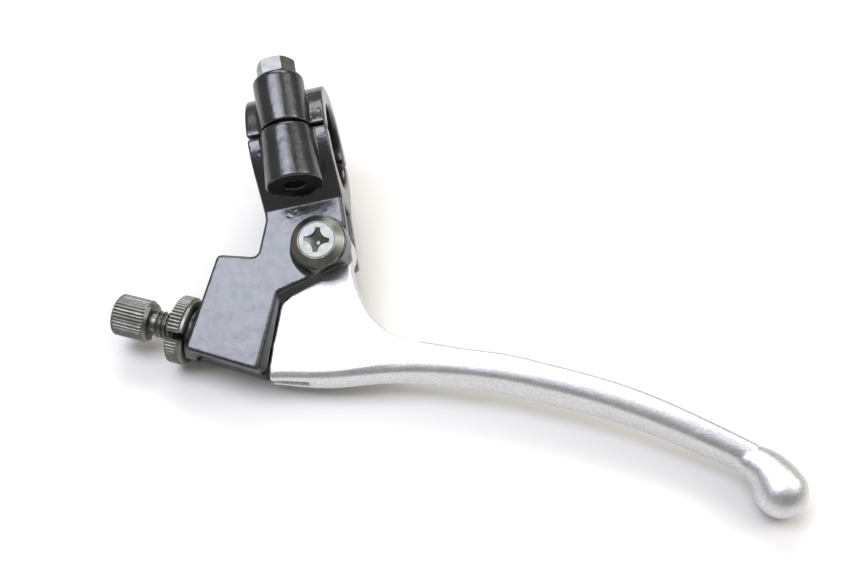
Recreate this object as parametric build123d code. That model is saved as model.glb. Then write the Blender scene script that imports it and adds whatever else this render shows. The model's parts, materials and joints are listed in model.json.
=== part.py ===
from build123d import *
import math
import os

# Clutch lever and perch for a one inch (25.4 mm) handlebar.
# X runs along the handlebar towards the lever's ball end, Y points from the
# lever back to the rider, Z is parallel to the lever's pivot axis.
# The origin is on the handlebar's axis, at the middle of the clamp.

# ---- handlebar clamp ----
BAR_R = 12.7               # handlebar radius, and the clamp's bore
CLAMP_W = 23.0             # clamp length along the bar
CLAMP_R = 18.2             # outside radius of the clamp ring
BORE_BEVEL = 0.5           # bevel at both mouths of the bore
SPLIT = 0.8                # gap between the two clamp halves
BOLT_Z = 18.3              # clamp bolt axes above and below the bar axis
BOLT_R = 3.0               # M6
BOLT_AF = 9.9              # hexagon across flats
BOLT_HEAD_H = 4.6
CAP_BOSS_R0 = 7.0          # cap boss at the split
CAP_BOSS_R1 = 7.4          # cap boss at the bolt head
CAP_BOSS_L = 16.2          # from the bar axis to the boss's end face
PERCH_BOSS_R0 = 7.3        # perch boss at the split
PERCH_BOSS_R1 = 8.1        # perch boss at its open end
PERCH_BOSS_L = 17.0
PERCH_FRONT = 19.2         # where the clamp body meets the plate
SLOPE_TOP = (9.5, 15.5)    # top of the slope down to the plate: Y depth, Z

# ---- fork and pivot ----
TOP_Z = 8.7                # top face of the plate
LEVER_T = 8.0              # lever thickness at its root
SIDE_GAP = 0.2             # lever to cheek, each side
CHEEK_T = 4.3              # thickness of each cheek
PIVOT_X = 3.2
PIVOT_Y = -33.1
PIVOT_BOSS_R = 8.2
PIVOT_BOSS_H = 5.2
SLEEVE_R = 4.5             # pivot sleeve's outside radius
SCREW_R = 3.0              # M6 pivot screw
SCREW_HEAD_R = 5.15
CUP_R = 7.55               # flared head of the sleeve
CUP_H = 2.4
RECESS_R = 3.6              # cross recess, centre to wing tip
RECESS_W = 1.4
RECESS_DEPTH = 3.0
NUT_AF = 10.0
HUB_R = 8.2                # lever hub around the pivot

# ---- cable block and adjuster ----
CABLE_DEG = -25.5          # direction of the cable in the XY plane
CABLE_X = -36.7            # cable axis where it enters the block
CABLE_Y = -48.4
PAD_R = 8.0                # raised pad round the adjuster's thread
PAD_T = 1.7
ADJ_R = 4.0                # M8 adjuster thread
THREAD_IN = 12.0           # thread inside the block at rest
BORE_DEPTH = 20.4          # tapped bore in the block
HEAD_R = 6.1
HEAD_L = 11.0
LOCK_R = 9.9
LOCK_T = 5.2
LOCK_COLLAR_T = 1.3
NECK_L = 7.6               # thread showing between head and lock nut
SLOT_W = 2.2               # cable slot in the adjuster, lock nut, block, lever
LOCK_SLOT_DEG = 69.0       # slot directions, up from straight out of the front
HEAD_SLOT_DEG = -45.0
FERRULE_R = 3.1            # cable ferrule seat in the adjuster head
FERRULE_L = 7.0
CABLE_HOLE_R = 1.5
NIPPLE_R = 4.05            # barrel nipple seat in the lever
NIPPLE_S = 35.0            # nipple centre, along the cable from the block face

# ---- fits ----
RUN = 0.05                 # running clearance on the radius
NEAR = 0.1                 # between seated faces

SLOT_TOP = TOP_Z - CHEEK_T
SLOT_H = LEVER_T + 2 * SIDE_GAP
SLOT_BOTTOM = SLOT_TOP - SLOT_H
BOTTOM_Z = SLOT_BOTTOM - CHEEK_T
LEVER_TOP = SLOT_TOP - SIDE_GAP
LEVER_Z = LEVER_TOP - LEVER_T / 2
CABLE_Z = LEVER_Z
PIVOT_TOP = TOP_Z + PIVOT_BOSS_H

# Plan outline of the plate: neck, block and fork cheeks.
NECK_LEFT = [(-CLAMP_W / 2, -8.0), (-CLAMP_W / 2, -21.4), (-15.4, -31.7)]
BLOCK = [(-26.7, -28.5), (-39.7, -54.1), (-20.2, -64.4), (-11.2, -43.5)]
FORK = [(-8.6, -42.9), (9.8, -38.6), (11.0, -37.4), (CLAMP_W / 2, -8.0)]

# Drafted wall of the upper cheek towards the lever: its rim, then its foot.
SKIRT_RIM = [(-20.0, -64.2), (-11.3, -43.8), (-7.5, -42.8), (0.0, -41.1)]
SKIRT_FOOT = [(-18.2, -64.4), (-11.7, -45.4), (-8.6, -44.4), (0.6, -41.4)]
SKIRT_BACK = [(0.0, -38.0), (-14.0, -40.0), (-24.0, -61.0)]

# The pivot boss is cut flush with the cheek's front wall.
BOSS_TRIM = [(-1.0, -41.3), (9.8, -38.7), (16.0, -37.0), (16.0, -46.0), (-1.0, -46.0)]

# Left side of the gap between the cheeks, following the lever's hub.
GAP = [(14.0, -20.0), (-3.0, -20.0), (-8.2, -26.0), (-8.2, -37.0),
       (-12.4, -46.2), (14.0, -46.4)]

# The lower cheek stops short of the upper one.
LOWER_TRIM = [(-8.6, -43.8), (12.5, -36.4), (14.0, -46.0), (-8.6, -46.0)]

# Lever root: its middle, inside the blade's flank, then the rear edge back.
HEEL = (-17.9, -63.4)
ROOT_FRONT = [(-16.0, -64.6), (-8.0, -66.4), (0.0, -68.0), (9.0, -68.6), (14.0, -68.6),
              (20.0, -69.2)]
ROOT_REAR = [(25.1, -63.9), (21.1, -62.2), (17.9, -60.4), (15.5, -57.8),
             (12.9, -54.0), (11.0, -48.5), (10.1, -43.8), (9.9, -38.0)]
HEEL_BACK = [(-7.9, -41.6), (-9.4, -44.2), (-11.4, -45.3), (-12.4, -47.4)]

# Lever blade stations: x, y, width across the blade, height, heading, crease, drop.
# The crease is the edge between the blade's top and its sloping front flank:
# how far it is across the blade from its middle, and how far below the top.
BLADE = [
    (-17.0, -61.3, 12.0, 8.0, -14.0, -4.9, 0.8),
    (-7.4, -64.1, 12.0, 8.0, -13.0, -4.0, 0.9),
    (1.1, -65.9, 12.0, 8.0, -9.0, -3.7, 1.0),
    (14.0, -67.3, 12.1, 8.0, -12.0, -3.8, 1.1),
    (23.5, -69.5, 11.8, 8.3, -16.0, -3.2, 1.1),
    (44.5, -76.7, 10.8, 8.9, -21.0, -2.2, 1.0),
    (64.6, -86.0, 10.4, 9.0, -27.0, -1.9, 1.2),
    (84.0, -97.0, 9.7, 9.0, -32.0, -2.1, 1.3),
    (93.0, -103.4, 9.3, 8.8, -36.0, -1.9, 1.3),
    (102.0, -110.2, 8.9, 8.6, -41.0, -1.9, 1.4),
    (105.4, -113.0, 8.9, 8.7, -47.0, -2.2, 1.8),
]
EDGE_R = 1.7               # rounding of the blade's rear edges
ROLL = 4.2                 # rounding of the blade's top towards the crease
# Ball end and its neck, as a run of growing balls: x, y, radius.
BALLS = [
    (105.7, -112.9, 4.4), (106.7, -113.7, 4.6), (107.6, -114.6, 4.9), (108.8, -115.8, 5.3),
    (109.9, -117.3, 5.75), (110.6, -119.0, 6.3), (111.2, -120.8, 6.8), (111.6, -122.6, 7.2),
]


def prism(points, z0, z1):
    """Solid over a plan polygon, between two heights."""
    face = make_face(Polyline(*points, close=True))
    return Pos(0, 0, z0) * extrude(face, z1 - z0)


def rod(radius, start, direction, length, radius_end=None):
    """Round bar, or cone, from a start point along a direction."""
    plane = Plane(origin=start, z_dir=direction)
    if radius_end is None:
        return plane * Cylinder(radius, length, align=(Align.CENTER, Align.CENTER, Align.MIN))
    return plane * Cone(radius, radius_end, length, align=(Align.CENTER, Align.CENTER, Align.MIN))


def hexagon(across_flats, start, direction, height, turn=0.0):
    """Hexagonal head with its far edge chamfered by a cone."""
    plane = Plane(origin=start, x_dir=(1, 0, 0), z_dir=direction)
    body = extrude(RegularPolygon(across_flats / 2, 6, major_radius=False, rotation=turn), height)
    tip = across_flats / 2 - 0.35
    cone = Cone(tip + 1.9 * height, tip, height, align=(Align.CENTER, Align.CENTER, Align.MIN))
    return plane * (body & cone)


def cable_plane(distance):
    """Plane across the cable axis, at a distance outside the block's face."""
    angle = math.radians(CABLE_DEG)
    step = (math.cos(angle), math.sin(angle), 0)
    start = (CABLE_X - step[0] * distance, CABLE_Y - step[1] * distance, CABLE_Z)
    outward = (-step[0], -step[1], 0)
    return Plane(origin=start, x_dir=(step[1], -step[0], 0), z_dir=outward)


def cable_rod(radius, near, far, radius_end=None):
    """Round bar on the cable axis, between two distances from the block's face."""
    plane = cable_plane(near)
    return rod(radius, plane.origin, plane.z_dir, far - near, radius_end)


def cable_slot(near, far, reach, lift=0.0):
    """Slot from the cable axis outwards, towards the front or lifted from it."""
    box = Box(reach, SLOT_W, far - near, align=(Align.MIN, Align.CENTER, Align.MIN))
    return cable_plane(near) * Rot(0, 0, lift) * box


def clamp_ring(side):
    """Half of the clamp ring, on the side of +Y or of -Y."""
    ring = rod(CLAMP_R, (-CLAMP_W / 2, 0, 0), (1, 0, 0), CLAMP_W)
    keep = Pos(0, side * (20 + SPLIT / 2), 0) * Box(60, 40, 60)
    return ring & keep


def bore_cut():
    """Handlebar bore with a bevel at each mouth."""
    cut = rod(BAR_R, (-40, 0, 0), (1, 0, 0), 80)
    for side in (-1, 1):
        mouth = (side * (CLAMP_W / 2 - BORE_BEVEL), 0, 0)
        cut += rod(BAR_R, mouth, (side, 0, 0), 2 * BORE_BEVEL, BAR_R + 2 * BORE_BEVEL)
    return cut


def make_cap():
    cap = clamp_ring(1)
    start = SPLIT / 2
    for side in (-1, 1):
        boss = rod(CAP_BOSS_R0, (0, start, side * BOLT_Z), (0, 1, 0), CAP_BOSS_L - start,
                   CAP_BOSS_R1)
        end = boss.edges().sort_by(Axis.Y)[-1]
        boss = boss.fillet(1.8, [end])
        web = Pos(0, start, side * (BOLT_Z - 3.4)) * Box(
            2 * CAP_BOSS_R0 - 1.0, CAP_BOSS_L - start - 4.0, 5.0,
            align=(Align.CENTER, Align.MIN, Align.CENTER))
        cap += boss + web
    cap -= bore_cut()
    for side in (-1, 1):
        cap -= rod(BOLT_R + 0.3, (0, -1, side * BOLT_Z), (0, 1, 0), CAP_BOSS_L + 2)
    return cap


def make_bolt(side):
    seat = CAP_BOSS_L
    length = CAP_BOSS_L + PERCH_BOSS_L - 2.2
    head = hexagon(BOLT_AF, (0, seat + 0.4, side * BOLT_Z), (0, 1, 0), BOLT_HEAD_H, -4.6)
    face = rod(BOLT_AF / 2 - 0.15, (0, seat, side * BOLT_Z), (0, 1, 0), 0.4)
    shank = rod(BOLT_R - RUN, (0, seat - length, side * BOLT_Z), (0, 1, 0), length)
    end = shank.edges().sort_by(Axis.Y)[0]
    shank = shank.chamfer(0.7, None, [end])
    return head + face + shank


def perch_outline():
    points = NECK_LEFT + BLOCK + FORK
    return make_face(Polyline(*points, close=True))


def rounded_outline():
    """Plate outline with the corners a casting has."""
    face = perch_outline()
    sizes = [(NECK_LEFT[1], 3.0), (NECK_LEFT[2], 2.0), (BLOCK[0], 1.6), (BLOCK[1], 1.5),
             (BLOCK[2], 0.8), (BLOCK[3], 1.2), (FORK[1], 1.2)]
    for point, radius in sizes:
        corner = face.vertices().sort_by_distance((point[0], point[1], 0))[0]
        face = fillet(corner, radius)
        face = face.faces()[0] if hasattr(face, "faces") else face
    return face


def clamp_body():
    """Body behind the half ring, sloping down to the plate on both sides."""
    depth, height = SLOPE_TOP
    near = -SPLIT / 2
    profile = [(near, -height), (near, height), (-depth, height), (-PERCH_FRONT, TOP_Z - 0.1),
               (-PERCH_FRONT, BOTTOM_Z + 0.1), (-depth, -height)]
    points = [(-CLAMP_W / 2, y, z) for y, z in profile]
    return extrude(make_face(Polyline(*points, close=True)), CLAMP_W, dir=(1, 0, 0))


def cheek_skirt():
    """Wall flaring out from the upper cheek's rim to just above the lever."""
    rim = make_face(Polyline(*SKIRT_RIM, *SKIRT_BACK, close=True))
    foot = make_face(Polyline(*SKIRT_FOOT, *SKIRT_BACK, close=True))
    return loft([Pos(0, 0, SLOT_TOP) * foot, Pos(0, 0, TOP_Z - 0.5) * rim], ruled=True)


def make_perch():
    plate = Pos(0, 0, BOTTOM_Z) * extrude(rounded_outline(), TOP_Z - BOTTOM_Z)
    plate = plate.fillet(0.9, plate.faces().sort_by(Axis.Z)[-1].edges())
    plate = plate.fillet(0.7, plate.faces().sort_by(Axis.Z)[0].edges())
    perch = plate + clamp_ring(-1)
    depth = PERCH_BOSS_L - SPLIT / 2
    for side in (-1, 1):
        boss = rod(PERCH_BOSS_R0, (0, -SPLIT / 2, side * BOLT_Z), (0, -1, 0), depth,
                   PERCH_BOSS_R1)
        boss = boss.fillet(0.5, [boss.edges().sort_by(Axis.Y)[0]])
        web = Pos(0, -SPLIT / 2, side * (BOLT_Z - 4.5)) * Box(
            2 * PERCH_BOSS_R0 - 1.0, depth - 1.2, 7.0,
            align=(Align.CENTER, Align.MAX, Align.CENTER))
        perch += boss + web
    perch += clamp_body()
    perch += rod(PIVOT_BOSS_R + 0.35, (PIVOT_X, PIVOT_Y, TOP_Z - 1), (0, 0, 1),
                 PIVOT_BOSS_H + 1, PIVOT_BOSS_R - 0.25)
    perch -= prism(BOSS_TRIM, TOP_Z - 0.1, PIVOT_TOP + 1)
    perch += cheek_skirt()
    perch += cable_rod(PAD_R, -2.0, PAD_T)
    perch -= bore_cut()
    for side in (-1, 1):
        perch -= rod(BOLT_R, (0, 1, side * BOLT_Z), (0, -1, 0), PERCH_BOSS_L + 4)
    perch -= prism(GAP, SLOT_BOTTOM, SLOT_TOP)
    perch -= prism(LOWER_TRIM, BOTTOM_Z - 1, SLOT_BOTTOM + 0.5)
    perch -= rod(HUB_R + 0.8, (PIVOT_X, PIVOT_Y, SLOT_BOTTOM), (0, 0, 1), SLOT_H)
    perch -= rod(SLEEVE_R, (PIVOT_X, PIVOT_Y, SLOT_BOTTOM - 1.5), (0, 0, 1), 40)
    perch -= rod(SCREW_R + 0.2, (PIVOT_X, PIVOT_Y, BOTTOM_Z - 1), (0, 0, 1), 10)
    perch -= cable_rod(ADJ_R, -BORE_DEPTH, PAD_T + 1)
    perch -= cable_rod(ADJ_R - 1.0, -40.0, 1.0)
    perch -= cable_slot(-40.0, PAD_T + 1, 14.0)
    return perch.solids().sort_by(SortBy.VOLUME)[-1]


def lever_root():
    front = Spline(*ROOT_FRONT)
    rear = Spline(*ROOT_REAR)
    heel = Polyline(*HEEL_BACK, HEEL, ROOT_FRONT[0])
    tip = Line(ROOT_FRONT[-1], ROOT_REAR[0])
    start = (PIVOT_X - HUB_R, PIVOT_Y - 1.5)
    close = Polyline(ROOT_REAR[-1], (PIVOT_X + 4.0, PIVOT_Y), start, HEEL_BACK[0])
    face = make_face([front, tip, rear, close, heel])
    hub = Pos(PIVOT_X, PIVOT_Y) * Circle(HUB_R)
    root = extrude(face + hub, LEVER_T)
    return Pos(0, 0, LEVER_Z - LEVER_T / 2) * root


def blade_section(x, y, width, height, heading, crease, drop):
    """Cross-section: flat top, rounded rear, and a flank sloping from the crease."""
    angle = math.radians(heading)
    plane = Plane(origin=(x, y, LEVER_Z), x_dir=(-math.sin(angle), math.cos(angle), 0),
                  z_dir=(math.cos(angle), math.sin(angle), 0))
    a = width / 2
    b = height / 2
    run = min(ROLL, a - EDGE_R - 0.4 - crease)
    edge = b - drop
    rear_top = Spline((a, 0), (a - EDGE_R, b), tangents=[(0, 1), (-1, 0)])
    top = Line((a - EDGE_R, b), (crease + run, b))
    roll = Spline((crease + run, b), (crease, edge), tangents=[(-1, 0), (-0.72, -0.70)])
    flank = Spline((crease, edge), (0.35 - a, -0.45 * b),
                   tangents=[(-0.58, -0.81), (-0.25, -0.97)])
    keel = Spline((0.35 - a, -0.45 * b), (2.2 - a, -b), tangents=[(-0.25, -0.97), (1, 0)])
    base = Line((2.2 - a, -b), (a - EDGE_R, -b))
    rear_low = Spline((a - EDGE_R, -b), (a, 0), tangents=[(1, 0), (0, 1)])
    return plane * make_face([rear_top, top, roll, flank, keel, base, rear_low])


def lever_blade():
    blade = loft([blade_section(*row) for row in BLADE])
    for x, y, radius in BALLS:
        blade += Pos(x, y, LEVER_Z) * Sphere(radius)
    return blade


def make_lever():
    lever = lever_root() + lever_blade()
    lever -= rod(SLEEVE_R + RUN, (PIVOT_X, PIVOT_Y, -20), (0, 0, 1), 40)
    seat = cable_plane(-NIPPLE_S).origin
    floor = LEVER_Z + LEVER_T / 2 - 1.6
    lever -= rod(NIPPLE_R, (seat.X, seat.Y, floor), (0, 0, -1), 12)
    lever -= cable_slot(-NIPPLE_S, -10.0, 14.0)
    lever -= cable_rod(SLOT_W / 2, -NIPPLE_S, -10.0)
    return lever.solids().sort_by(SortBy.VOLUME)[-1]


def make_sleeve():
    """Flared pivot sleeve: a conical cup on a tube through the fork and lever."""
    base = PIVOT_TOP
    foot = SLOT_BOTTOM - 1.5 + NEAR
    tube = rod(SLEEVE_R - RUN, (PIVOT_X, PIVOT_Y, foot), (0, 0, 1), base - foot)
    cup = rod(CUP_R, (PIVOT_X, PIVOT_Y, base), (0, 0, 1), 1.0)
    cup += rod(CUP_R, (PIVOT_X, PIVOT_Y, base + 1.0), (0, 0, 1), CUP_H - 1.0, SCREW_HEAD_R + 0.25)
    cup -= rod(SCREW_HEAD_R + NEAR, (PIVOT_X, PIVOT_Y, base + 0.6), (0, 0, 1), 5)
    cup -= rod(SCREW_R + 0.15, (PIVOT_X, PIVOT_Y, base - 1), (0, 0, 1), 5)
    tube -= rod(SCREW_R + 0.15, (PIVOT_X, PIVOT_Y, foot - 1), (0, 0, 1), 40)
    return tube + cup


def phillips(z_top):
    """Cross recess: four wings with hollow flanks, its floor sloping to a point."""
    tip, half, web = RECESS_R, RECESS_W / 2, 1.5
    face = None
    for turn in range(4):
        quarter = Rot(0, 0, 90 * turn)
        arc = quarter * ThreePointArc((tip, half), (web, web), (half, tip))
        end = quarter * Line((half, tip), (-half, tip))
        face = [arc, end] if face is None else face + [arc, end]
    outline = Rot(0, 0, -16) * make_face(face)
    prism_cut = extrude(outline, -RECESS_DEPTH)
    cone = Cone(0.5, tip + 0.5, RECESS_DEPTH, align=(Align.CENTER, Align.CENTER, Align.MAX))
    return Pos(PIVOT_X, PIVOT_Y, z_top) * (prism_cut & cone)


def make_screw():
    base = PIVOT_TOP + 0.6
    top = PIVOT_TOP + CUP_H + 0.1
    foot = BOTTOM_Z - 8.2
    head = rod(SCREW_HEAD_R, (PIVOT_X, PIVOT_Y, base), (0, 0, 1), top - base)
    head = head.fillet(0.2, [head.edges().sort_by(Axis.Z)[-1]])
    shank = rod(SCREW_R, (PIVOT_X, PIVOT_Y, foot), (0, 0, 1), base - foot)
    shank = shank.chamfer(0.7, None, [shank.edges().sort_by(Axis.Z)[0]])
    return head + shank - phillips(top)


def make_lower_washer():
    ring = rod(6.0, (PIVOT_X, PIVOT_Y, BOTTOM_Z), (0, 0, -1), 1.2)
    return ring - rod(SCREW_R + 0.2, (PIVOT_X, PIVOT_Y, BOTTOM_Z + 1), (0, 0, -1), 5)


def make_spring_washer():
    top = BOTTOM_Z - 1.2
    ring = rod(5.1, (PIVOT_X, PIVOT_Y, top), (0, 0, -1), 1.5)
    ring -= rod(SCREW_R + 0.1, (PIVOT_X, PIVOT_Y, top + 1), (0, 0, -1), 5)
    cut = Pos(PIVOT_X + 4.0, PIVOT_Y, top - 0.75) * Rot(25, 0, 0) * Box(4.0, 0.9, 5.0)
    return ring - cut


def make_pivot_nut():
    top = BOTTOM_Z - 2.7
    nut = hexagon(NUT_AF, (PIVOT_X, PIVOT_Y, top), (0, 0, -1), 5.0)
    return nut - rod(SCREW_R, (PIVOT_X, PIVOT_Y, top + 1), (0, 0, -1), 8)


def make_adjuster():
    """Slotted adjuster: knurled head, neck and thread, bored for the cable."""
    start = PAD_T + NEAR + LOCK_T + NECK_L
    body = cable_rod(ADJ_R - RUN, -THREAD_IN, start)
    head = cable_rod(HEAD_R, start, start + HEAD_L)
    head = head.chamfer(0.7, None, head.edges().filter_by(GeomType.CIRCLE))
    body += head
    body -= cable_rod(CABLE_HOLE_R, -20, 40)
    body -= cable_rod(FERRULE_R, start + HEAD_L - FERRULE_L, 40)
    body -= cable_slot(-20, 40, 12.0, HEAD_SLOT_DEG)
    return body.solids().sort_by(SortBy.VOLUME)[-1]


def make_lock_nut():
    """Thumb nut: a smooth collar against the block and a knurled rim."""
    near = PAD_T + NEAR
    collar = cable_rod(LOCK_R - 0.5, near, near + LOCK_COLLAR_T)
    collar = collar.chamfer(0.4, None, collar.edges().sort_by(Axis.X)[-1:])
    rim = cable_rod(LOCK_R, near + LOCK_COLLAR_T, near + LOCK_T)
    rim = rim.chamfer(0.45, None, rim.edges().filter_by(GeomType.CIRCLE))
    nut = collar + rim - cable_rod(ADJ_R, -1, 20)
    nut -= cable_slot(-1, 20, 14.0, LOCK_SLOT_DEG)
    return nut.solids().sort_by(SortBy.VOLUME)[-1]


PARTS = {
    "perch_bracket": make_perch,
    "clamp_cap": make_cap,
    "lever_blade": make_lever,
    "pivot_sleeve": make_sleeve,
    "pivot_screw": make_screw,
    "pivot_washer": make_lower_washer,
    "pivot_spring_washer": make_spring_washer,
    "pivot_nut": make_pivot_nut,
    "cable_adjuster": make_adjuster,
    "adjuster_lock_nut": make_lock_nut,
}

os.makedirs("parts", exist_ok=True)
for name, maker in PARTS.items():
    export_step(maker(), "parts/" + name + ".step")
export_step(make_bolt(1), "parts/clamp_bolt_upper.step")
export_step(make_bolt(-1), "parts/clamp_bolt_lower.step")
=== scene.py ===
import json
import math

import bmesh
import bpy
from mathutils import Matrix, Vector


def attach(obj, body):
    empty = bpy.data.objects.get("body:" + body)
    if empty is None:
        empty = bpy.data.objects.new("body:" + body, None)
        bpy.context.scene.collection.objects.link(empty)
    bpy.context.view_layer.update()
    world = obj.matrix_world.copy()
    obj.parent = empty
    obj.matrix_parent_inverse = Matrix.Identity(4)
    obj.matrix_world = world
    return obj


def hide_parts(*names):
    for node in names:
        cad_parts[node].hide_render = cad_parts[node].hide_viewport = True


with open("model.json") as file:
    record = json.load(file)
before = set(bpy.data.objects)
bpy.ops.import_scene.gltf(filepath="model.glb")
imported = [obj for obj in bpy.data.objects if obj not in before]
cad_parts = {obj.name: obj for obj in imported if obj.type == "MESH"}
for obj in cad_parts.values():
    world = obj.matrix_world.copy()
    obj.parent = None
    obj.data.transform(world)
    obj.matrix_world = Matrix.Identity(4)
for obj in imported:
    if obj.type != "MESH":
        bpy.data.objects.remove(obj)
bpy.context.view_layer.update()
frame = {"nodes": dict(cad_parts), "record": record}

MM = 0.001
nodes = frame["nodes"]
record = frame["record"]

# ---------------------------------------------------------------- helpers


def joint(name):
    """A joint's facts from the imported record."""
    for row in record["behaviour"]["joints"]:
        if row["name"] == name:
            return row
    raise KeyError(name)


def add_object(name, data):
    """Puts a mesh, a light or a camera into the scene."""
    obj = bpy.data.objects.new(name, data)
    bpy.context.scene.collection.objects.link(obj)
    return obj


def mesh_object(name, mesh):
    """Turns a finished bmesh into an object."""
    data = bpy.data.meshes.new(name)
    mesh.to_mesh(data)
    mesh.free()
    return add_object(name, data)


def shade_smooth(obj, degrees):
    """Smooth shading, with edges over the angle kept sharp."""
    for polygon in obj.data.polygons:
        polygon.use_smooth = True
    obj.data.set_sharp_from_angle(angle=math.radians(degrees))


# -------------------------------------------------------------- materials


class Build:
    """Short way to wire a procedural material."""

    def __init__(self, name):
        self.mat = bpy.data.materials.new(name)
        self.mat.use_nodes = True
        self.tree = self.mat.node_tree
        self.shader = self.tree.nodes["Principled BSDF"]
        self.coords = self.tree.nodes.new("ShaderNodeTexCoord").outputs["Object"]

    def node(self, kind, **inputs):
        made = self.tree.nodes.new(kind)
        for key, value in inputs.items():
            target = made.inputs[key.replace("_", " ")]
            if isinstance(value, bpy.types.NodeSocket):
                self.tree.links.new(value, target)
            else:
                target.default_value = value
        return made

    def link(self, source, target):
        self.tree.links.new(source, target)

    def noise(self, scale, detail=3.0, rough=0.5):
        made = self.node("ShaderNodeTexNoise", Vector=self.coords, Scale=scale,
                         Detail=detail, Roughness=rough)
        return made.outputs["Fac"]

    def ramp(self, source, stops):
        made = self.tree.nodes.new("ShaderNodeValToRGB")
        self.link(source, made.inputs["Fac"])
        ramp = made.color_ramp
        while len(ramp.elements) < len(stops):
            ramp.elements.new(0.5)
        for element, (place, tone) in zip(ramp.elements, stops):
            element.position = place
            shade = tone if isinstance(tone, tuple) else (tone, tone, tone)
            element.color = (*shade, 1.0)
        return made.outputs["Color"]

    def mix(self, factor, a, b):
        made = self.tree.nodes.new("ShaderNodeMix")
        made.data_type = "RGBA"
        for key, value in ((0, factor), (6, a), (7, b)):
            if isinstance(value, bpy.types.NodeSocket):
                self.link(value, made.inputs[key])
            elif isinstance(value, tuple):
                made.inputs[key].default_value = (*value, 1.0)
            else:
                made.inputs[key].default_value = value
        return made.outputs[2]

    def bump(self, height, strength, distance, normal=None):
        made = self.node("ShaderNodeBump", Strength=strength, Distance=distance, Height=height)
        if normal:
            self.link(normal, made.inputs["Normal"])
        return made.outputs["Normal"]

    def set(self, **inputs):
        for key, value in inputs.items():
            target = self.shader.inputs[key.replace("_", " ")]
            if isinstance(value, bpy.types.NodeSocket):
                self.link(value, target)
            elif isinstance(value, tuple) and len(value) == 3 and target.type == "RGBA":
                target.default_value = (*value, 1.0)
            else:
                target.default_value = value


def black_paint():
    m = Build("black_paint")
    peel = m.noise(520.0, 2.0, 0.5)
    wave = m.noise(140.0, 2.0, 0.5)
    grit = m.noise(2300.0, 3.0, 0.6)
    tone = m.ramp(m.noise(90.0, 4.0, 0.6),
                  [(0.3, (0.006, 0.006, 0.007)), (0.7, (0.013, 0.013, 0.014))])
    rough = m.ramp(m.noise(330.0, 5.0, 0.65), [(0.3, 0.17), (0.7, 0.30)])
    pits = m.ramp(m.noise(260.0, 1.0, 0.5), [(0.20, 0.0), (0.26, 1.0)])
    normal = m.bump(wave, 0.10, 0.0008)
    normal = m.bump(peel, 0.16, 0.0005, normal)
    normal = m.bump(grit, 0.10, 0.00012, normal)
    normal = m.bump(pits, 0.5, 0.00012, normal)
    m.set(Base_Color=tone, Roughness=rough, Normal=normal, Specular_IOR_Level=1.0)
    return m.mat


def alloy():
    m = Build("polished_alloy")
    grain = m.noise(2600.0, 3.0, 0.6)
    cloud = m.noise(60.0, 5.0, 0.6)
    nicks = m.ramp(m.noise(620.0, 2.0, 0.6), [(0.70, 0.0), (0.76, 1.0)])
    tone = m.ramp(cloud, [(0.3, (0.72, 0.72, 0.73)), (0.7, (0.80, 0.80, 0.80))])
    rough = m.ramp(m.noise(380.0, 4.0, 0.6), [(0.3, 0.34), (0.7, 0.44)])
    speck = m.ramp(m.noise(1500.0, 2.0, 0.6), [(0.35, 0.0), (0.65, 1.0)])
    tone = m.mix(speck, (0.62, 0.62, 0.63), tone)
    normal = m.bump(grain, 0.45, 0.0002)
    normal = m.bump(cloud, 0.05, 0.0010, normal)
    normal = m.bump(nicks, 0.25, 0.0001, normal)
    m.set(Base_Color=tone, Metallic=1.0, Roughness=rough, Normal=normal)
    return m.mat


def zinc():
    m = Build("zinc_steel")
    grain = m.noise(2400.0, 3.0, 0.6)
    tint = m.noise(420.0, 2.0, 0.5)
    tone = m.ramp(tint, [(0.25, (0.23, 0.25, 0.27)), (0.5, (0.27, 0.27, 0.24)),
                         (0.75, (0.25, 0.27, 0.24))])
    rough = m.ramp(m.noise(900.0, 3.0, 0.6), [(0.3, 0.42), (0.7, 0.54)])
    m.set(Base_Color=tone, Metallic=1.0, Roughness=rough, Normal=m.bump(grain, 0.08, 0.0001))
    return m.mat


def shaded_bolt_zinc():
    """Zinc of the clamp bolts: darker than the pivot screw's zinc, as painted shade that tones
    down the light on the hex facets.
    """
    m = Build("shaded_bolt_zinc")
    grain = m.noise(2400.0, 3.0, 0.6)
    # Painted shade: the bolts' zinc tone is set about a quarter darker to hold down the light on
    # the hex facets.
    tone = m.ramp(m.noise(420.0, 2.0, 0.5),
                  [(0.3, (0.185, 0.19, 0.18)), (0.7, (0.25, 0.25, 0.235))])
    rough = m.ramp(m.noise(900.0, 3.0, 0.6), [(0.3, 0.30), (0.7, 0.42)])
    m.set(Base_Color=tone, Metallic=1.0, Roughness=rough, Normal=m.bump(grain, 0.10, 0.0001))
    return m.mat


def dark_steel():
    m = Build("dark_steel")
    grain = m.noise(2200.0, 3.0, 0.6)
    cloud = m.noise(300.0, 4.0, 0.6)
    tone = m.ramp(cloud, [(0.3, (0.15, 0.15, 0.135)), (0.7, (0.23, 0.23, 0.205))])
    rough = m.ramp(m.noise(700.0, 3.0, 0.6), [(0.3, 0.30), (0.7, 0.44)])
    m.set(Base_Color=tone, Metallic=1.0, Roughness=rough, Normal=m.bump(grain, 0.10, 0.0001))
    return m.mat


def floor_white():
    m = Build("floor_white")
    tone = m.ramp(m.noise(9.0, 4.0, 0.6), [(0.3, (0.83, 0.81, 0.78)), (0.7, (0.85, 0.83, 0.80))])
    rough = m.ramp(m.noise(60.0, 3.0, 0.6), [(0.3, 0.40), (0.7, 0.52)])
    m.set(Base_Color=tone, Roughness=rough)
    return m.mat


MATERIALS = {
    "black_paint": black_paint(),
    "polished_alloy": alloy(),
    "zinc_steel": zinc(),
    "dark_steel": dark_steel(),
}
# Darker zinc for the clamp bolts, as painted shade on their hex facets.
BOLT_SHADED_ZINC = shaded_bolt_zinc()
SLOT_OF = {row["node"]: row["material_slot"] for row in record["subparts"]}


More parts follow.
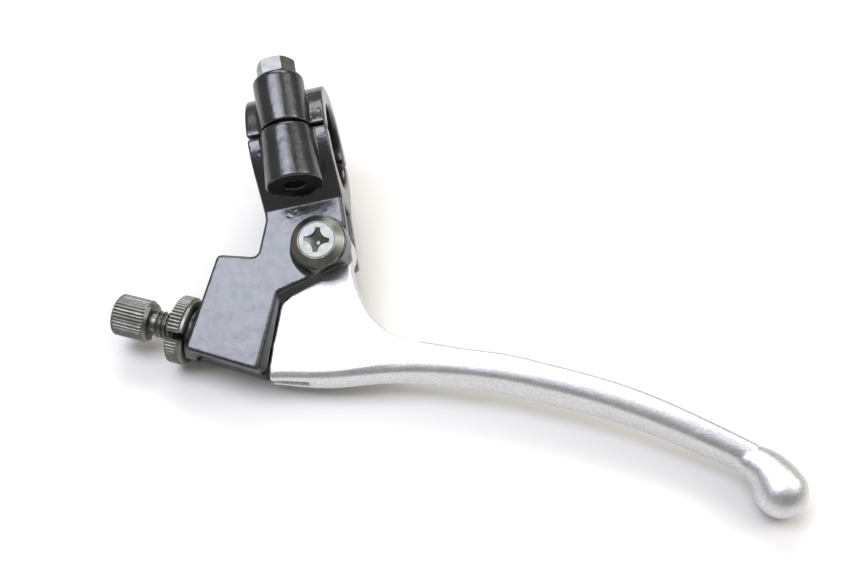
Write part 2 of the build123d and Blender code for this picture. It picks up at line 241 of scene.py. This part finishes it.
def paint(obj, slot_name, finish=None):
    obj.data.materials.clear()
    obj.data.materials.append(finish or MATERIALS[slot_name])


# -------------------------------------------- castings with rounded edges

# Smoothing passes of each casting.
CAST = {"perch_bracket": 7, "clamp_cap": 7, "lever_blade": 12}
SKIN_CELL = 0.36 * MM
SHARP_EDGE = 32
KNURL_EDGE = 40

for node_name, obj in nodes.items():
    # The clamp bolts take the darker zinc, which is painted shade on their hex facets.
    paint(obj, SLOT_OF[node_name], BOLT_SHADED_ZINC if "bolt" in node_name else None)
    if node_name in CAST:
        remesh = obj.modifiers.new("skin", "REMESH")
        remesh.mode = "VOXEL"
        remesh.voxel_size = SKIN_CELL
        remesh.use_smooth_shade = True
        relax = obj.modifiers.new("rounding", "SMOOTH")
        relax.factor = 0.5
        relax.iterations = CAST[node_name]
    else:
        shade_smooth(obj, SHARP_EDGE)

# -------------------------------------------------- adjuster and lock nut

# Frame of the cable: X out of the lever's front, Y up, Z outward from the block.
UP = Vector((0, 0, 1))
CABLE_OUT = Vector(joint("adjuster_feed")["axis"])
FRONT = UP.cross(CABLE_OUT)
CABLE_FRAME = Matrix((FRONT, UP, CABLE_OUT)).transposed().to_4x4()
CABLE_FRAME.translation = Vector(joint("lock_nut_turn")["pos_m"])


def lathe(name, rows, steps):
    """Closed surface of revolution: rows are (distance, radius function of the turn)."""
    mesh = bmesh.new()
    rings = []
    for distance, radius in rows:
        ring = []
        for k in range(steps):
            turn = 2 * math.pi * k / steps
            r = radius(turn) if callable(radius) else radius
            point = Vector((r * math.cos(turn), r * math.sin(turn), distance)) * MM
            ring.append(mesh.verts.new(CABLE_FRAME @ point))
        rings.append(ring)
    for a, b in zip(rings, rings[1:] + rings[:1]):
        for k in range(steps):
            n = (k + 1) % steps
            mesh.faces.new((a[k], a[n], b[n], b[k]))
    bmesh.ops.recalc_face_normals(mesh, faces=mesh.faces)
    return mesh_object(name, mesh)


def knurl(radius, depth, teeth):
    """Radius of a straight knurl: rounded crests and V grooves."""
    def at(turn):
        phase = (turn * teeth / (2 * math.pi)) % 1.0
        groove = 1.0 - abs(2 * phase - 1.0)
        return radius - depth * (1.0 - min(1.0, groove * 1.6)) ** 1.3
    return at


def thread_radius(distance, pitch, major, depth):
    """Radius of a right-hand helical thread at a distance along the axis."""
    def at(turn):
        phase = (distance / pitch - turn / (2 * math.pi)) % 1.0
        flank = abs(2 * phase - 1.0)
        return major - depth * min(1.0, max(0.0, flank * 1.35 - 0.18))
    return at


def apply_modifiers(obj):
    graph = bpy.context.evaluated_depsgraph_get()
    data = bpy.data.meshes.new_from_object(obj.evaluated_get(graph))
    obj.modifiers.clear()
    obj.data = data


def cut_box(obj, size, centre, turn):
    """Cuts a slot through obj: size and centre in millimetres, turned about the axis."""
    mesh = bmesh.new()
    bmesh.ops.create_cube(mesh, size=1.0)
    matrix = CABLE_FRAME @ Matrix.Rotation(math.radians(turn), 4, "Z")
    scale = Matrix.Diagonal((*[v * MM for v in size], 1.0))
    bmesh.ops.transform(mesh, matrix=matrix @ Matrix.Translation(Vector(centre) * MM) @ scale,
                        verts=mesh.verts)
    tool = mesh_object("slot_tool", mesh)
    cut = obj.modifiers.new("slot", "BOOLEAN")
    cut.operation = "DIFFERENCE"
    cut.object = tool
    cut.solver = "EXACT"
    apply_modifiers(obj)
    bpy.data.objects.remove(tool)


# Distances outward from the block's face, and radii, in millimetres.
PAD = 1.7
LOCK_R, LOCK_T, LOCK_COLLAR = 9.9, 5.2, 1.3
LOCK_TEETH, LOCK_GROOVE = 56, 0.42
THREAD_R, THREAD_PITCH, THREAD_DEPTH = 3.95, 1.45, 0.62
THREAD_START, THREAD_STEPS = -12.0, 12
HEAD_R, HEAD_START, HEAD_L = 6.1, 14.6, 11.0
HEAD_TEETH, HEAD_GROOVE = 36, 0.38
WIRE_R, FERRULE_R, FERRULE_L = 1.5, 3.1, 7.0
SLOT_W = 2.2
HEAD_SLOT_TURN, LOCK_SLOT_TURN = -45.0, 69.0


def make_adjuster():
    end = HEAD_START + HEAD_L
    head = knurl(HEAD_R, HEAD_GROOVE, HEAD_TEETH)
    rows = []
    d = THREAD_START
    while d < HEAD_START - 1.6:
        major = THREAD_R - max(0.0, 0.6 * (THREAD_START + 1.0 - d))
        rows.append((d, thread_radius(d, THREAD_PITCH, major, THREAD_DEPTH)))
        d += THREAD_PITCH / THREAD_STEPS
    rows += [(HEAD_START - 1.5, THREAD_R - 0.55), (HEAD_START - 0.1, THREAD_R - 0.5)]
    rows += [(HEAD_START, THREAD_R - 0.1), (HEAD_START + 0.02, HEAD_R - 1.0)]
    rows += [(HEAD_START + 0.12, HEAD_R - 0.72), (HEAD_START + 0.75, HEAD_R - 0.42)]
    rows += [(HEAD_START + 1.0, HEAD_R - 0.36), (HEAD_START + 1.35, head)]
    rows += [(HEAD_START + 2.0 + 0.5 * k, head) for k in range(16)]
    rows += [(end - 0.75, head), (end - 0.35, HEAD_R - 0.42), (end - 0.1, HEAD_R - 0.75)]
    rows += [(end, HEAD_R - 1.1), (end, FERRULE_R + 0.35), (end - 0.3, FERRULE_R)]
    rows += [(end - FERRULE_L, FERRULE_R), (end - FERRULE_L - 0.6, WIRE_R)]
    rows += [(THREAD_START, WIRE_R)]
    obj = lathe("adjuster_knurled", rows, 352)
    cut_box(obj, (12.0, SLOT_W, 60.0), (6.0, 0, 10.0), HEAD_SLOT_TURN)
    return obj


def make_lock_nut():
    start = PAD + 0.1
    end = start + LOCK_T
    rim = knurl(LOCK_R, LOCK_GROOVE, LOCK_TEETH)
    rows = [(start, THREAD_R + 0.05), (start, LOCK_R - 1.3), (start + 0.15, LOCK_R - 0.85)]
    rows += [(start + 0.45, LOCK_R - 0.55), (start + LOCK_COLLAR - 0.1, LOCK_R - 0.5)]
    rows += [(start + LOCK_COLLAR + 0.25, rim)]
    rows += [(start + LOCK_COLLAR + 0.6 + 0.4 * k, rim) for k in range(7)]
    rows += [(end - 0.45, rim), (end - 0.15, LOCK_R - 0.5), (end, LOCK_R - 0.95)]
    rows += [(end, THREAD_R + 0.5), (end - 0.4, THREAD_R + 0.05)]
    obj = lathe("lock_nut_knurled", rows, 8 * LOCK_TEETH)
    cut_box(obj, (14.0, SLOT_W, 20.0), (7.0, 0, 4.0), LOCK_SLOT_TURN)
    return obj


adjuster = make_adjuster()
shade_smooth(adjuster, KNURL_EDGE)
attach(adjuster, "adjuster")
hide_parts("cable_adjuster")
paint(adjuster, "dark_steel")

lock_nut = make_lock_nut()
shade_smooth(lock_nut, KNURL_EDGE)
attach(lock_nut, "lock_nut")
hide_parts("adjuster_lock_nut")
paint(lock_nut, "dark_steel")

# ------------------------------------------------------ floor and lighting

# The plane the lever lies on, and half the width of the sheet.
REST_NORMAL = Vector((0.131, 0.307, 0.943)).normalized()
REST_OFFSET = -0.0300
SHEET_REACH = 3.0


def make_floor():
    mesh = bmesh.new()
    bmesh.ops.create_grid(mesh, x_segments=1, y_segments=1, size=SHEET_REACH)
    turn = UP.rotation_difference(REST_NORMAL).to_matrix().to_4x4()
    bmesh.ops.transform(mesh, matrix=Matrix.Translation(REST_NORMAL * REST_OFFSET) @ turn,
                        verts=mesh.verts)
    obj = mesh_object("floor", mesh)
    obj.data.materials.append(floor_white())
    return obj


floor = make_floor()


def panel(name, place, aim, width, height, radiance, colour):
    """Rectangular light of a given brightness, facing a point."""
    light = bpy.data.lights.new(name, "AREA")
    light.shape = "RECTANGLE"
    light.size = width
    light.size_y = height
    light.energy = radiance * math.pi * width * height
    light.color = colour
    obj = add_object(name, light)
    obj.location = place
    obj.rotation_euler = (Vector(aim) - Vector(place)).to_track_quat("-Z", "Y").to_euler()


# Lights: name, place, aim, width, height, brightness, colour.
CENTRE = (0.02, -0.05, 0.0)
COOL = (0.86, 0.90, 1.04)
PALE = (0.95, 0.97, 1.0)
NEUTRAL = (0.97, 0.98, 1.0)
WARM = (1.02, 1.0, 0.96)
ROOM_COLOUR = (1.0, 0.99, 0.97, 1.0)
ROOM_STRENGTH = 0.30

for panel_facts in [
    ("overhead", (-0.16, 0.19, 0.60), (-0.16, 0.16, 0.0), 0.38, 0.36, 6.8, COOL),
    ("overhead_right", (0.10, 0.19, 0.60), (0.10, 0.16, 0.0), 0.12, 0.36, 3.6, PALE),
    ("overhead_low", (0.20, 0.05, 0.60), (0.20, 0.05, 0.0), 0.30, 0.26, 1.5, NEUTRAL),
    ("back_window", (0.25, 0.95, 0.50), CENTRE, 0.9, 0.45, 4.2, WARM),
    ("right_window", (0.80, 0.10, 0.42), CENTRE, 0.34, 0.26, 5.0, WARM),
    ("right_wall", (0.75, 0.10, 0.60), CENTRE, 0.8, 0.5, 1.7, WARM),
]:
    panel(*panel_facts)

world = bpy.data.worlds.new("room")
bpy.context.scene.world = world
world.use_nodes = True
background = world.node_tree.nodes["Background"]
background.inputs["Color"].default_value = ROOM_COLOUR
background.inputs["Strength"].default_value = ROOM_STRENGTH

# ------------------------------------------------------------------ camera

CAMERA_AT = Vector((0.04435, -0.13283, 0.30212))
CAMERA_BACK = Vector((0.0430, -0.2693, 0.9621)).normalized()
CAMERA_RIGHT = Vector((0.9785, -0.1828, -0.0950))
FOCAL = 46.05

right = (CAMERA_RIGHT - CAMERA_BACK * CAMERA_RIGHT.dot(CAMERA_BACK)).normalized()
up = CAMERA_BACK.cross(right)
camera_data = bpy.data.cameras.new("camera")
camera_data.sensor_width = 36.0
camera_data.lens = FOCAL
camera_data.clip_start = 0.01
camera = add_object("camera", camera_data)
pose = Matrix((right, up, CAMERA_BACK)).transposed().to_4x4()
pose.translation = CAMERA_AT
camera.matrix_world = pose
bpy.context.scene.camera = camera
bpy.context.scene.view_settings.view_transform = "Standard"
